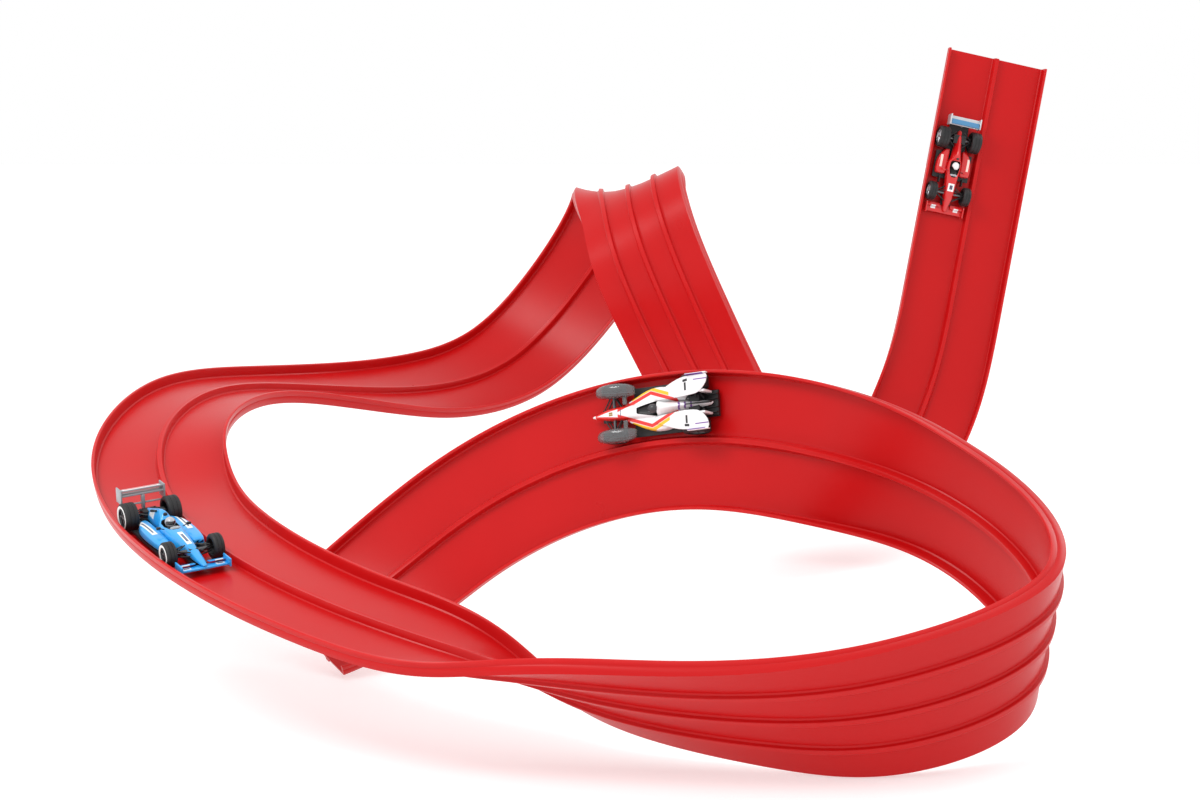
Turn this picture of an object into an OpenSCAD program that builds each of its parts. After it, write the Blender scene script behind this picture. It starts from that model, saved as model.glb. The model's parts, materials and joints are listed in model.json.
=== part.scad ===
// Two-lane flexible track ribbon with three free rolling open-wheel toy cars.
// Millimetres, +Z up, floor at Z = 0. A car's own x runs down its lane, y to its left, z off the lane.

/* [Track ribbon] */
// Overall width of the ribbon over both side rails
ribbon_w = 84; // [78:0.2:101]
// Thickness of the running web
web_t = 1.5; // [1.2:0.1:2.4]
// Height of the side rails above the running face
rail_h = 7; // [4:0.5:9]
// Thickness of a side rail at its top
rail_t = 2; // [1.4:0.1:2.6]
// Height of the rib between the two lanes
rib_h = 4.5; // [2:0.5:6]
// Width of the rib between the two lanes
rib_w = 4; // [3:0.5:5]
// Depth of the three stiffening ribs under the web
keel_h = 2.5; // [1.5:0.5:4]
// Width of a stiffening rib
keel_w = 4.5; // [3:0.5:6]
// Size of the whole course against its normal layout
course_scale = 1; // [0.9:0.05:1.2]

/* [Cars] */
// Overall width of a car over its tyres
car_w = 35; // [31:0.5:36]
// Tyre diameter at the front
front_tyre_d = 15; // [12.5:0.5:16]
// Tyre diameter at the rear
rear_tyre_d = 17; // [14.5:0.5:18]
// Front tyre width
front_tyre_w = 6.5; // [5:0.5:7]
// Rear tyre width
rear_tyre_w = 8.5; // [6:0.5:9]
// Axle diameter
axle_d = 2; // [1.6:0.1:2.6]
// Distance between the axles of the blue car
blue_wheelbase = 66; // [55:1:72]
// Distance between the axles of the white car
white_wheelbase = 56; // [50:1:60]
// Distance between the axles of the red car
red_wheelbase = 44; // [38:1:52]
// Gap left between a tyre and the running face
tyre_gap = 0.5; // [0.4:0.05:0.7]

/* [Part shown] */
// Sub-part to draw, or all of them

/* [Hidden] */
eps = 0.01;
axle_fit = 0.1;
lane_u = -(ribbon_w / 2 - rail_t + rib_w / 2) / 2;
start_t = 0.4;
finish_t = 35.5;

// ---- centreline control points: place, then the direction across the ribbon ----
top_point = [320, 400, 490];
top_step = [-14, -10, -73];
top_across = [0.9, 0.2, 0.4];
// turns with a constant bank: middle x, y, z, heading, slope, roll, radius, lean, spacing
blue_turn = [-212, -225, 86, -47, -10, 7, 345, 9, 76];
white_turn = [-39, -88, 127, 161, -22, -75, 255, -21, 79];
loop_points = [
    [215, 320, 55, 1.0, -0.2, -0.1],
    [180, 275, 35, 0.8, -0.5, -0.2],
    [130, 210, 35, 0.7, -0.8, 0.1],
    [75, 170, 110, 0.9, -0.5, 0.4],
    [40, 170, 180, 0.8, -0.3, 0.3],
    [5, 165, 255, 0.8, -0.2, 0.5],
    [0, 215, 300, 0.8, -0.3, 0.4],
    [5, 285, 270, 0.9, -0.4, -0.2],
    [-40, 300, 200, 0.8, -0.5, -0.5],
    [-90, 285, 145, 0.7, -0.5, -0.4],
    [-145, 235, 135, 0.7, -0.5, -0.4],
    [-190, 185, 140, 0.8, -0.4, -0.3],
    [-240, 125, 150, 0.9, -0.4, -0.2],
    [-285, 45, 160, 1.0, -0.3, -0.1],
    [-305, -35, 140, 1.0, -0.1, 0.1]];
wall_points = [
    [-20, -335, 40, 0.2, 1.3, -1.0],
    [75, -355, 35, 0, 0.6, -0.8],
    [140, -355, 40, 0, 0.3, -0.9],
    [225, -310, 60, -0.1, 0.2, -0.9],
    [225, -240, 95, -0.1, 0.4, -0.9],
    [175, -175, 130, -0.1, 0.5, -0.9]];
finish_points = [
    [-235, -115, 0, 0.8, -0.9, -0.1],
    [-305, -160, -5, 0.9, -1.2, 0.2]];

function unit(v) = v / norm(v);
function place(p) = [p[0], p[1], p[2]] * course_scale;
function across(p) = [p[3], p[4], p[5]];
// turn v about the unit axis k
function spun(v, k, deg) = v * cos(deg) + cross(k, v) * sin(deg) + k * (k * v) * (1 - cos(deg));
function turn_t(z) = [cos(z[4]) * cos(z[3]), cos(z[4]) * sin(z[3]), sin(z[4])];
function turn_flat(z) = [-sin(z[3]), cos(z[3]), 0];
function turn_a(z) = turn_flat(z) * cos(z[5]) + cross(turn_t(z), turn_flat(z)) * sin(z[5]);
function turn_n(z) = cross(turn_t(z), turn_a(z));
function turn_k(z) = turn_a(z) * sin(z[7]) + turn_n(z) * cos(z[7]);
function turn_out(z) = cross(turn_t(z), turn_k(z));
function turn_deg(z) = z[8] / z[6] * 180 / PI;
function turn_r(z) = z[6] * course_scale;
function turn_o(z) = place(z) - turn_out(z) * turn_r(z);
function turn_ctrl(z) = [for (j = [-2:2])
    turn_o(z) + spun(turn_out(z), turn_k(z), j * turn_deg(z)) * 3 * turn_r(z) / (2 + cos(turn_deg(z)))];
function turn_side(z) = [for (j = [-2:2]) spun(turn_a(z), turn_k(z), j * turn_deg(z))];

ctrl = concat([for (i = [0:5]) (top_point + top_step * i) * course_scale],
              [for (p = loop_points) place(p)], turn_ctrl(blue_turn),
              [for (p = wall_points) place(p)], turn_ctrl(white_turn),
              [for (p = finish_points) place(p)]);
side = concat([for (i = [0:5]) top_across],
              [for (p = loop_points) across(p)], turn_side(blue_turn),
              [for (p = wall_points) across(p)], turn_side(white_turn),
              [for (p = finish_points) across(p)]);

// uniform cubic B-spline over a list, and its slope
function cell(t) = min(floor(t), len(ctrl) - 4);
function bs(q, i, x) = (q[i] * pow(1 - x, 3) + q[i + 1] * (3 * pow(x, 3) - 6 * x * x + 4)
    + q[i + 2] * (-3 * pow(x, 3) + 3 * x * x + 3 * x + 1) + q[i + 3] * pow(x, 3)) / 6;
function bd(q, i, x) = (-q[i] * pow(1 - x, 2) + q[i + 1] * (3 * x * x - 4 * x)
    + q[i + 2] * (-3 * x * x + 2 * x + 1) + q[i + 3] * x * x) / 2;
function mid(t) = bs(ctrl, cell(t), t - cell(t));
function ahead(t) = unit(bd(ctrl, cell(t), t - cell(t)));
function raw_side(t) = bs(side, cell(t), t - cell(t));
function left(t) = unit(raw_side(t) - ahead(t) * (raw_side(t) * ahead(t)));
function above(t) = cross(ahead(t), left(t));

// ---- ribbon section: u across towards the left rail, h above the running face ----
half_w = ribbon_w / 2;
inner_w = half_w - rail_t;
function keel(u) = [[u + keel_w / 2, -web_t], [u + keel_w / 2 - 0.6, -web_t - keel_h],
                    [u - keel_w / 2 + 0.6, -web_t - keel_h], [u - keel_w / 2, -web_t]];
section = concat(
    [[-half_w, rail_h], [-inner_w, rail_h], [-inner_w + 0.6, 0], [lane_u, 0], [-rib_w / 2 - 0.4, 0],
     [-rib_w / 2 + 0.4, rib_h], [rib_w / 2 - 0.4, rib_h], [rib_w / 2 + 0.4, 0],
     [-lane_u, 0], [inner_w - 0.6, 0], [inner_w, rail_h], [half_w, rail_h], [half_w - 1, -web_t]],
    keel(ribbon_w / 4), keel(0), keel(-ribbon_w / 4), [[-half_w + 1, -web_t]]);
ns = len(section);

// the whole course is moved so that its box stands centred on the origin
spread = [for (t = [start_t:0.05:finish_t]) let (c = mid(t), a = left(t), n = above(t))
    for (q = section) c + a * q[0] + n * q[1]];
xs = [for (p = spread) p[0]];
ys = [for (p = spread) p[1]];
zs = [for (p = spread) p[2]];
home = -[(min(xs) + max(xs)) / 2, (min(ys) + max(ys)) / 2, min(zs)];

// ribbon between two stations as one swept skin
module ribbon(t0, t1, rows) {
    rings = [for (i = [0:rows]) let (t = t0 + (t1 - t0) * i / rows, c = mid(t), a = left(t), n = above(t))
        for (q = section) home + c + a * q[0] + n * q[1]];
    skin = [for (i = [0:rows - 1]) for (j = [0:ns - 1])
        let (a = i * ns + j, b = i * ns + (j + 1) % ns) each [[a, b, b + ns], [a, b + ns, a + ns]]];
    start_cap = [[for (j = [0:ns - 1]) ns - 1 - j]];
    end_cap = [[for (j = [0:ns - 1]) rows * ns + j]];
    color("red") polyhedron(points = rings, faces = concat(skin, start_cap, end_cap), convexity = 8);
}

// ribbon of a banked turn as one revolved section, d0 to d1 degrees from its middle
module turned_ribbon(z, d0, d1) {
    k = turn_k(z);
    out = turn_out(z);
    fwd = turn_t(z);
    o = turn_o(z) + home;
    multmatrix([[out[0], fwd[0], k[0], o[0]], [out[1], fwd[1], k[1], o[1]],
                [out[2], fwd[2], k[2], o[2]], [0, 0, 0, 1]])
        rotate([0, 0, d0])
            rotate_extrude(angle = d1 - d0)
                polygon([for (q = section) [turn_r(z) + q[0] * (turn_a(z) * out) + q[1] * (turn_n(z) * out),
                                            q[0] * (turn_a(z) * k) + q[1] * (turn_n(z) * k)]]);
}

module at_station(c, fwd, a, n) {
    multmatrix([[fwd[0], a[0], n[0], c[0] + home[0]], [fwd[1], a[1], n[1], c[1] + home[1]],
                [fwd[2], a[2], n[2], c[2] + home[2]], [0, 0, 0, 1]]) children();
}

module launch_drop() {
    t1 = 3;
    len_drop = norm(top_step) * course_scale * (t1 - start_t);
    color("red") at_station(mid(start_t), ahead(1), left(1), above(1))
        rotate([90, 0, 90]) linear_extrude(len_drop) polygon(section);
}
module drop_curve() { ribbon(3, 5, 12); }
module valley() { ribbon(5, 6.5, 8); }
module valley_exit() { ribbon(6.5, 8, 8); }
module loop_rise() { ribbon(8, 10.5, 10); }
module loop_crown() { ribbon(10.5, 12.5, 14); }
module loop_fall() { ribbon(12.5, 15, 10); }
module left_run() { ribbon(15, 18, 10); }
module left_bend() { ribbon(18, 21, 12); }
module left_lane() { color("red") turned_ribbon(blue_turn, -turn_deg(blue_turn), turn_deg(blue_turn)); }
module twist_lane() { ribbon(23, 25.5, 18); }
module front_wall() { ribbon(25.5, 28, 12); }
module right_end() { ribbon(28, 29, 6); }
module right_turn() { ribbon(29, 30, 6); }
module back_bend() { ribbon(30, 32, 10); }
module back_lane() { color("red") turned_ribbon(white_turn, -turn_deg(white_turn), turn_deg(white_turn)); }
module finish_lane() { ribbon(34, finish_t, 10); }

// ---- where each car stands: turn and degrees past its middle, or station on the drop ----
blue_deg = -11;
white_deg = -14.7;
red_t = 1.65;
function car_fwd(z, d) = spun(turn_t(z), turn_k(z), d);
function car_left(z, d) = spun(turn_a(z), turn_k(z), d);
// radius of the right lane's middle line, and how far a car sinks inwards so that both axles lie on it
function lane_r(z) = turn_r(z) + lane_u * (turn_a(z) * turn_out(z));
function sink(z, wb) = lane_r(z) - sqrt(pow(lane_r(z), 2) - wb * wb / 4);
function car_at(z, d, wb) = turn_o(z) + spun(turn_out(z), turn_k(z), d) * (turn_r(z) - sink(z, wb))
    + car_left(z, d) * lane_u;
module on_turn(z, d, wb) {
    at_station(car_at(z, d, wb), car_fwd(z, d), car_left(z, d), cross(car_fwd(z, d), car_left(z, d)))
        children();
}
module on_blue() { on_turn(blue_turn, blue_deg, blue_wheelbase) children(); }
module on_white() { on_turn(white_turn, white_deg, white_wheelbase) children(); }
module on_red() {
    at_station(mid(red_t) + left(red_t) * lane_u, ahead(red_t), left(red_t), above(red_t)) children();
}

// ---- shared car pieces; local x forward, y left, z up from the running face ----
// block between two rectangles: x, width, bottom, top at each end
module wedge(x0, w0, b0, t0, x1, w1, b1, t1) {
    if (x0 > x1) wedge(x1, w1, b1, t1, x0, w0, b0, t0);
    else polyhedron(points = [[x0, -w0 / 2, b0], [x0, w0 / 2, b0], [x0, w0 / 2, t0], [x0, -w0 / 2, t0],
                              [x1, -w1 / 2, b1], [x1, w1 / 2, b1], [x1, w1 / 2, t1], [x1, -w1 / 2, t1]],
                    faces = [[0, 1, 2, 3], [7, 6, 5, 4], [0, 4, 5, 1], [1, 5, 6, 2], [2, 6, 7, 3], [3, 7, 4, 0]]);
}
module wheel_pair(x, d, w) {
    for (s = [-1, 1])
        translate([x, s * (car_w - w) / 2, d / 2 + tyre_gap])
            rotate([90, 0, 0])
                difference() {
                    rotate_extrude()
                        polygon([[0, -w / 2 + 0.8], [d / 2 - 2.6, -w / 2 + 0.8], [d / 2 - 2.4, -w / 2],
                                 [d / 2 - 0.8, -w / 2], [d / 2, -w / 2 + 0.8], [d / 2, w / 2 - 0.8],
                                 [d / 2 - 0.8, w / 2], [d / 2 - 2.4, w / 2], [d / 2 - 2.6, w / 2 - 0.8],
                                 [0, w / 2 - 0.8]]);
                    cylinder(d = axle_d, h = w * 2, center = true);
                }
}
module axle(x, d) {
    translate([x, 0, d / 2 + tyre_gap]) rotate([90, 0, 0]) cylinder(d = axle_d, h = car_w - 2, center = true);
}
front_z = front_tyre_d / 2 + tyre_gap;
rear_z = rear_tyre_d / 2 + tyre_gap;
deck_z = 4.2;
// floor plate, narrow at both axles, with two bearing blocks bored for the axles
module chassis(wb, nose_x, tail_x) {
    difference() {
        union() {
            translate([tail_x, -8, 2.6]) cube([-wb / 2 + 10.5 - tail_x, 16, deck_z - 2.6]);
            translate([-wb / 2 + 10.5 - eps, -15, 2.6]) cube([wb - 22.5 + eps, 30, deck_z - 2.6]);
            translate([wb / 2 - 12 - eps, -4, 2.6]) cube([nose_x - wb / 2 + 12, 8, deck_z - 2.6]);
            translate([wb / 2 - 3, -2.5, 2.6]) cube([6, 5, front_z + axle_d / 2 - 1.8]);
            translate([-wb / 2 - 3.5, -5, 2.6]) cube([7, 10, rear_z + axle_d / 2 - 1]);
        }
        translate([wb / 2, 0, front_z]) rotate([90, 0, 0])
            cylinder(d = axle_d + axle_fit, h = 40, center = true);
        translate([-wb / 2, 0, rear_z]) rotate([90, 0, 0])
            cylinder(d = axle_d + axle_fit, h = 40, center = true);
    }
}
// room under the nose for the front bearing block and its axle
module nose_room(wb) {
    translate([wb / 2 - 3.1, -2.6, 0]) cube([6.2, 5.2, front_z + axle_d / 2 + 0.9]);
    translate([wb / 2 - axle_d / 2 - 0.5, -20, 0]) cube([axle_d + 1, 40, front_z + axle_d / 2 + 0.5]);
}
module helmet(x, z, d, seat_z) {
    translate([x, 0, z]) sphere(d = d);
    translate([x, 0, seat_z]) cylinder(d = d * 0.9, h = z - d * 0.1 - seat_z);
}

// ---- blue car ----
bwb = blue_wheelbase;
nose_top = front_z + 3.5;
module blue_shell() {
    color("deepskyblue") on_blue() difference() {
        union() {
            wedge(bwb / 2 + 18, 5, deck_z, 6.4, bwb / 2 + 5, 8, deck_z, nose_top - 0.9);
            wedge(bwb / 2 + 5 + eps, 8, deck_z, nose_top - 0.9, bwb / 2 - 6, 9.5, deck_z, nose_top + 0.6);
            wedge(bwb / 2 - 6 + eps, 9.5, deck_z, nose_top + 0.6, 6, 14, deck_z, 13);
            wedge(6 + eps, 30, deck_z, 9, -12, 31, deck_z, 10.5);
            wedge(-12 + eps, 31, deck_z, 10.5, -bwb / 2 + 11, 16, deck_z, 9);
            wedge(6 + eps, 12, 8.9, 13, -7, 12, 8.9, 13.5);
            wedge(-7 + eps, 9, 8.9, 18.5, -13, 8, 8.9, 18);
            wedge(-13 + eps, 8, 8.9, 18, -bwb / 2 + 4.2, 5, 8.9, 12.5);
        }
        translate([-5.5, -4, 9.8]) cube([11, 8, 12]);
        nose_room(bwb);
    }
}
module blue_floor() {
    color("dimgray") on_blue() chassis(bwb, bwb / 2 + 12, -bwb / 2 - 12);
}
module blue_driver() { color("silver") on_blue() helmet(0, 14.2, 6.4, 9.8); }
module blue_nose_wing() {
    color("deepskyblue") on_blue() {
        translate([bwb / 2 + 12, -14, 2.6]) cube([9, 28, deck_z - 2.6]);
        for (s = [-1, 1]) translate([bwb / 2 + 11, s * 14.5 - 0.5, 2.6]) cube([11, 1, 5]);
    }
}
module blue_tail_wing() {
    color("slategray") on_blue() {
        translate([-bwb / 2 - 17, -13, 17]) cube([7.5, 26, 1.6]);
        translate([-bwb / 2 - 12.5, -13, 20]) cube([3, 26, 1.4]);
        for (s = [-1, 1]) translate([-bwb / 2 - 18, s * 13.5 - 0.5, 13]) cube([8.5, 1, 9]);
        translate([-bwb / 2 - 12, -1.5, deck_z]) cube([3, 3, 13]);
    }
}
module blue_front_axle() { color("silver") on_blue() axle(bwb / 2, front_tyre_d); }
module blue_rear_axle() { color("silver") on_blue() axle(-bwb / 2, rear_tyre_d); }
module blue_front_wheels() { color("black") on_blue() wheel_pair(bwb / 2, front_tyre_d, front_tyre_w); }
module blue_rear_wheels() { color("black") on_blue() wheel_pair(-bwb / 2, rear_tyre_d, rear_tyre_w); }

// ---- white car ----
wwb = white_wheelbase;
module white_shell() {
    color("white") on_white() difference() {
        union() {
            wedge(wwb / 2 + 17, 2.5, deck_z, 6, wwb / 2 + 5, 7, deck_z, nose_top - 1.2);
            wedge(wwb / 2 + 5 + eps, 7, deck_z, nose_top - 1.2, wwb / 2 - 6, 8, deck_z, nose_top + 0.4);
            wedge(wwb / 2 - 6 + eps, 8, deck_z, nose_top + 0.4, 8, 12, deck_z, 12.5);
            wedge(8 + eps, 18, deck_z, 9.5, -8, 32, deck_z, 9.5);
            wedge(-8 + eps, 32, deck_z, 9.5, -wwb / 2 + 11, 22, deck_z, 9);
            wedge(8 + eps, 12, 9.4, 12.5, 3, 12, 9.4, 13);
            wedge(-6, 9, 9.4, 16.5, -wwb / 2 + 11, 7, 9.4, 14);
            wedge(-wwb / 2 + 11 + eps, 7, deck_z, 14, -wwb / 2 + 4.2, 5, deck_z, 12.5);
        }
        nose_room(wwb);
    }
}
module white_floor() {
    color("dimgray") on_white() chassis(wwb, wwb / 2 + 10, -wwb / 2 - 13);
}
module white_driver() { color("dimgray") on_white() helmet(-1.5, 12.6, 6.2, 9.5); }
module white_wheel_pods() {
    color("gray") on_white()
        for (s = [-1, 1])
            translate([wwb / 2, s * (car_w / 2 - 3.3), 0])
                intersection() {
                    difference() {
                        translate([0, 0, front_z]) rotate([90, 0, 0])
                            cylinder(d = front_tyre_d + 4, h = 7.6, center = true);
                        translate([0, 0, front_z]) rotate([90, 0, 0])
                            cylinder(d = front_tyre_d + 1.6, h = 9, center = true);
                    }
                    translate([-12, -6, front_z + 2.6]) cube([24, 12, 12]);
                }
    color("gray") on_white()
        for (s = [-1, 1]) translate([wwb / 2 - 10.5, s * 10.95 - 6.25, front_z + 2.5]) cube([3, 12.5, 1.6]);
}
module white_tail_wings() {
    color("white") on_white() {
        for (s = [-1, 1])
            translate([-wwb / 2 - 18, s * 10.5 - 5, 18.2]) cube([15, 10, 1.4]);
        for (s = [-1, 1])
            translate([-wwb / 2 - 11, s * 6.5 - 0.75, deck_z]) cube([5, 1.5, 14 + eps]);
    }
}
module white_front_axle() { color("silver") on_white() axle(wwb / 2, front_tyre_d); }
module white_rear_axle() { color("silver") on_white() axle(-wwb / 2, rear_tyre_d); }
module white_front_wheels() { color("black") on_white() wheel_pair(wwb / 2, front_tyre_d, front_tyre_w); }
module white_rear_wheels() { color("black") on_white() wheel_pair(-wwb / 2, rear_tyre_d, rear_tyre_w); }

// ---- red car ----
rwb = red_wheelbase;
module red_shell() {
    color("crimson") on_red() difference() {
        union() {
            wedge(rwb / 2 + 14, 4, deck_z, 6.4, rwb / 2 + 5, 7.5, deck_z, nose_top - 1);
            wedge(rwb / 2 + 5 + eps, 7.5, deck_z, nose_top - 1, rwb / 2 - 6, 9, deck_z, nose_top + 0.6);
            wedge(rwb / 2 - 6 + eps, 9, deck_z, nose_top + 0.6, 5, 13, deck_z, 12.5);
            wedge(5 + eps, 30, deck_z, 9, -6, 30, deck_z, 10);
            wedge(-6 + eps, 30, deck_z, 10, -rwb / 2 + 10.5, 15, deck_z, 9);
            wedge(5 + eps, 12, 8.9, 12.5, -5, 12, 8.9, 13);
            wedge(-5 + eps, 8.5, 8.9, 17.5, -rwb / 2 + 4.2, 5, 8.9, 12.5);
        }
        translate([-4, -4, 9.8]) cube([8.5, 8, 12]);
        nose_room(rwb);
    }
}
module red_floor() {
    color("dimgray") on_red() chassis(rwb, rwb / 2 + 9, -rwb / 2 - 13);
}
module red_driver() { color("white") on_red() helmet(0, 13.6, 6.2, 9.8); }
module red_nose_wing() {
    color("crimson") on_red() {
        translate([rwb / 2 + 9, -15, 2.6]) cube([7.5, 30, deck_z - 2.6]);
        for (s = [-1, 1]) translate([rwb / 2 + 8.5, s * 15.5 - 0.5, 2.6]) cube([9, 1, 4.5]);
    }
}
module red_tail_wing() {
    color("silver") on_red() {
        translate([-rwb / 2 - 17, -12, 16]) cube([7.5, 24, 1.6]);
        for (s = [-1, 1]) translate([-rwb / 2 - 18, s * 12.5 - 0.5, 11]) cube([8.5, 1, 9]);
        translate([-rwb / 2 - 12, -1.5, deck_z]) cube([4, 3, 16 - deck_z]);
    }
}
module red_front_axle() { color("silver") on_red() axle(rwb / 2, front_tyre_d); }
module red_rear_axle() { color("silver") on_red() axle(-rwb / 2, rear_tyre_d); }
module red_front_wheels() { color("black") on_red() wheel_pair(rwb / 2, front_tyre_d, front_tyre_w); }
module red_rear_wheels() { color("black") on_red() wheel_pair(-rwb / 2, rear_tyre_d, rear_tyre_w); }

launch_drop();
drop_curve();
valley();
valley_exit();
loop_rise();
loop_crown();
loop_fall();
left_run();
left_bend();
left_lane();
twist_lane();
front_wall();
right_end();
right_turn();
back_bend();
back_lane();
finish_lane();
blue_shell();
blue_floor();
blue_driver();
blue_nose_wing();
blue_tail_wing();
blue_front_axle();
blue_rear_axle();
blue_front_wheels();
blue_rear_wheels();
white_shell();
white_floor();
white_driver();
white_wheel_pods();
white_tail_wings();
white_front_axle();
white_rear_axle();
white_front_wheels();
white_rear_wheels();
red_shell();
red_floor();
red_driver();
red_nose_wing();
red_tail_wing();
red_front_axle();
red_rear_axle();
red_front_wheels();
red_rear_wheels();
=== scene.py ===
import json
import math
import bmesh
import bpy
from mathutils import Matrix, Vector

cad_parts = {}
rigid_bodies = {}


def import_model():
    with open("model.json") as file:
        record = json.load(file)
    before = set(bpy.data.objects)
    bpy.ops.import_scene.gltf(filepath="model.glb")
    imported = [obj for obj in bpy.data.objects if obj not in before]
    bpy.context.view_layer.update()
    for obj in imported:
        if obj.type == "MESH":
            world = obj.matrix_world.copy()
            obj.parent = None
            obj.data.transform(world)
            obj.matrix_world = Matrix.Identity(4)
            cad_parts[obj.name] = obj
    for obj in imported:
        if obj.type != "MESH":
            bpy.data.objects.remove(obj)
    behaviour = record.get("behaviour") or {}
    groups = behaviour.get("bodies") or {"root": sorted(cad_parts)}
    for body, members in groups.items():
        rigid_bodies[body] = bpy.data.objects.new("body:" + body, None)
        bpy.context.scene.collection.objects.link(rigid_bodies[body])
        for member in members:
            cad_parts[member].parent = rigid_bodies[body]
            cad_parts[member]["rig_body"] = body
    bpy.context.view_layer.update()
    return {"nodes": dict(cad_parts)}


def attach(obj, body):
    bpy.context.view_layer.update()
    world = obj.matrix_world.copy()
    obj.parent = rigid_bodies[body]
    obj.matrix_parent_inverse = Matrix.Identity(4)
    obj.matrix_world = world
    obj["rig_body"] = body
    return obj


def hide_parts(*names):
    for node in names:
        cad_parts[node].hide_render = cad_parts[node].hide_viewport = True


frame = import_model()
print("frame loaded")

mm = 0.001

# the flexible ribbon; its course is one smooth curve through given points, in millimetres
track = {
    "width": 84, "web": 1.5, "railHeight": 7, "railTop": 2, "laneRibHeight": 4.5, "laneRibWidth": 4,
    "keelDepth": 2.5, "keelWidth": 4.5,
    "topPoint": (320, 400, 490), "topStep": (-14, -10, -73), "topAcross": (0.9, 0.2, 0.4),
    "loopPoints": [
        (215, 320, 55, 1.0, -0.2, -0.1), (180, 275, 35, 0.8, -0.5, -0.2), (130, 210, 35, 0.7, -0.8, 0.1),
        (75, 170, 110, 0.9, -0.5, 0.4), (40, 170, 180, 0.8, -0.3, 0.3), (5, 165, 255, 0.8, -0.2, 0.5),
        (0, 215, 300, 0.8, -0.3, 0.4), (5, 285, 270, 0.9, -0.4, -0.2), (-40, 300, 200, 0.8, -0.5, -0.5),
        (-90, 285, 145, 0.7, -0.5, -0.4), (-145, 235, 135, 0.7, -0.5, -0.4), (-190, 185, 140, 0.8, -0.4, -0.3),
        (-240, 125, 150, 0.9, -0.4, -0.2), (-285, 45, 160, 1.0, -0.3, -0.1), (-305, -35, 140, 1.0, -0.1, 0.1)],
    "blueTurn": {"middle": (-212, -225, 86), "heading": -47, "slope": -10, "roll": 7, "radius": 345,
                 "lean": 9, "spacing": 76},
    "wallPoints": [
        (-20, -335, 40, 0.2, 1.3, -1.0), (75, -355, 35, 0, 0.6, -0.8), (140, -355, 40, 0, 0.3, -0.9),
        (225, -310, 60, -0.1, 0.2, -0.9), (225, -240, 95, -0.1, 0.4, -0.9), (175, -175, 130, -0.1, 0.5, -0.9)],
    "whiteTurn": {"middle": (-39, -88, 127), "heading": 161, "slope": -22, "roll": -75, "radius": 255,
                  "lean": -21, "spacing": 79},
    "finishPoints": [(-235, -115, 0, 0.8, -0.9, -0.1), (-305, -160, -5, 0.9, -1.2, 0.2)],
    "start": 0.4, "finish": 35.5, "rowsPerStation": 16,
}


def turned(vector, axis, degrees):
    return Matrix.Rotation(math.radians(degrees), 3, axis) @ vector


class Turn:
    # a stretch of constant bank: the lane turns about one fixed axis
    def __init__(self, spec):
        heading, slope, roll, lean = (math.radians(spec[key]) for key in ("heading", "slope", "roll", "lean"))
        self.radius = spec["radius"]
        self.step = math.degrees(spec["spacing"] / spec["radius"])
        self.ahead = Vector((math.cos(slope) * math.cos(heading), math.cos(slope) * math.sin(heading),
                             math.sin(slope)))
        flat = Vector((-math.sin(heading), math.cos(heading), 0))
        self.left = flat * math.cos(roll) + self.ahead.cross(flat) * math.sin(roll)
        self.above = self.ahead.cross(self.left)
        self.axis = (self.left * math.sin(lean) + self.above * math.cos(lean)).normalized()
        self.out = self.ahead.cross(self.axis)
        self.hub = Vector(spec["middle"]) - self.out * self.radius

    def points(self):
        reach = 3 * self.radius / (2 + math.cos(math.radians(self.step)))
        return [self.hub + turned(self.out, self.axis, j * self.step) * reach for j in range(-2, 3)]

    def sides(self):
        return [turned(self.left, self.axis, j * self.step) for j in range(-2, 3)]


blueTurn, whiteTurn = Turn(track["blueTurn"]), Turn(track["whiteTurn"])
coursePoints = [Vector(track["topPoint"]) + Vector(track["topStep"]) * i for i in range(6)]
courseSides = [Vector(track["topAcross"]) for i in range(6)]
for source in (track["loopPoints"], blueTurn, track["wallPoints"], whiteTurn, track["finishPoints"]):
    if isinstance(source, Turn):
        coursePoints += source.points()
        courseSides += source.sides()
    else:
        coursePoints += [Vector(p[:3]) for p in source]
        courseSides += [Vector(p[3:]) for p in source]


def blended(values, t):
    i = min(int(t), len(values) - 4)
    x = t - i
    return (values[i] * (1 - x) ** 3 + values[i + 1] * (3 * x ** 3 - 6 * x * x + 4)
            + values[i + 2] * (-3 * x ** 3 + 3 * x * x + 3 * x + 1) + values[i + 3] * x ** 3) / 6


def slopeOf(values, t):
    i = min(int(t), len(values) - 4)
    x = t - i
    return (values[i] * -((1 - x) ** 2) + values[i + 1] * (3 * x * x - 4 * x)
            + values[i + 2] * (-3 * x * x + 2 * x + 1) + values[i + 3] * x * x) / 2


def stationAt(t):
    # centre, ahead, left and above of the ribbon at station t
    ahead = slopeOf(coursePoints, t).normalized()
    left = blended(courseSides, t)
    left = (left - ahead * left.dot(ahead)).normalized()
    return blended(coursePoints, t), ahead, left, ahead.cross(left)


half = track["width"] / 2
inner = half - track["railTop"]
# half the width of a keel at its foot, a little generous
keelFoot, keelBottom = 1.65, -track["web"] - track["keelDepth"]
corners = [(-half, track["railHeight"]), (half, track["railHeight"]),
           (half - 1, -track["web"]), (1 - half, -track["web"])]
corners += [(keel + side * keelFoot, keelBottom) for keel in (-half / 2, half / 2) for side in (-1, 1)]
spread = []
for i in range(int((track["finish"] - track["start"]) / 0.05) + 1):
    centre, ahead, left, above = stationAt(track["start"] + 0.05 * i)
    spread += [centre + left * u + above * h for u, h in corners]
home = -Vector(((min(p.x for p in spread) + max(p.x for p in spread)) / 2,
                (min(p.y for p in spread) + max(p.y for p in spread)) / 2, min(p.z for p in spread)))
laneMiddle = -(inner + track["laneRibWidth"] / 2) / 2


# ---- tools shared by the pieces ----
def clearSelection():
    if bpy.context.object and bpy.context.object.mode != "OBJECT":
        bpy.ops.object.mode_set(mode="OBJECT")
    bpy.ops.object.select_all(action="DESELECT")


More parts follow.
